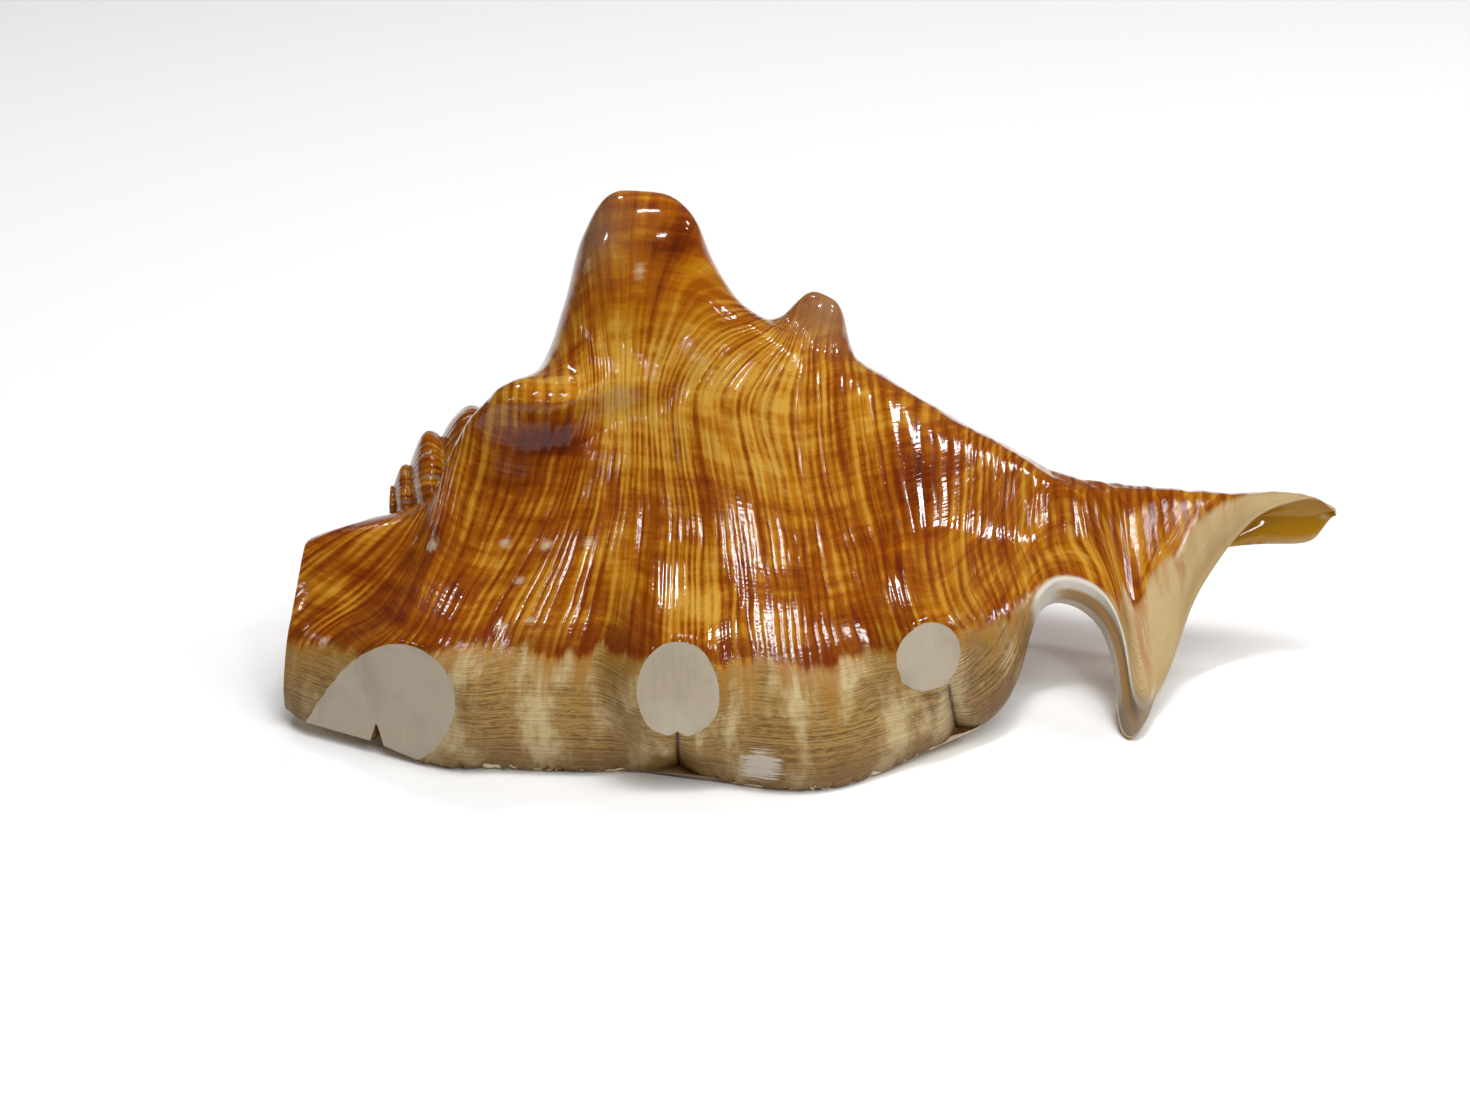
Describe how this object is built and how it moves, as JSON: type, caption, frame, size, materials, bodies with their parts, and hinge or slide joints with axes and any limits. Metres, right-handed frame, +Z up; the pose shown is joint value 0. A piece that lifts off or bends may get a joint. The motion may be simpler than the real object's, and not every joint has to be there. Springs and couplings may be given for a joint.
{
  "type": "conch shell",
  "caption": "Large spider conch shell with a flared lip, finger-like spines sawn off flush, a tall knob, a short spire and a long open canal, lying on its opening.",
  "frame": {"origin": "middle of the footprint, on the surface the shell lies on", "axes": "+X from the spire to the siphonal canal, -Y to the flared lip, +Z up from the opening to the knobs"},
  "size_m": [0.2499, 0.1314, 0.1155],
  "materials": {
    "shell": "polished natural shell, golden brown with a cream lip"
  },
  "bodies": {
    "root": {"shell": "shell"}
  },
  "joints": []
}
